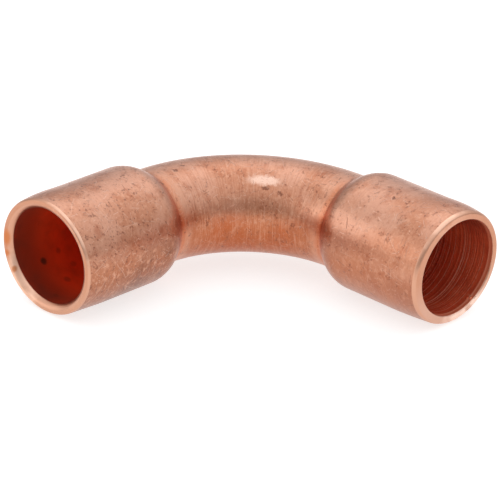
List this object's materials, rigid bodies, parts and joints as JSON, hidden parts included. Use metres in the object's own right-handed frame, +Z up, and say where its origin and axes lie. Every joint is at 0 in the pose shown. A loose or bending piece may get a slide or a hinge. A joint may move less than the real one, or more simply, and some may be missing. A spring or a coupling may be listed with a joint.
{
  "type": "pipe elbow",
  "caption": "Long-radius 90 degree copper elbow with a solder socket at each end, joining two tubes of one size at a right angle.",
  "frame": {"origin": "centre of the left socket's stop, on the socket's axis, where the end of a fitted tube seats", "axes": "the left mouth faces -Y, the right mouth faces +X, and both axes lie in the plane z = 0 with +Z up"},
  "size_m": [0.0335, 0.0335, 0.0118],
  "materials": {
    "copper": "satin drawn copper, with bright machined mouths"
  },
  "bodies": {
    "root": {"bend": "copper", "left_cup": "copper", "right_cup": "copper"}
  },
  "joints": []
}
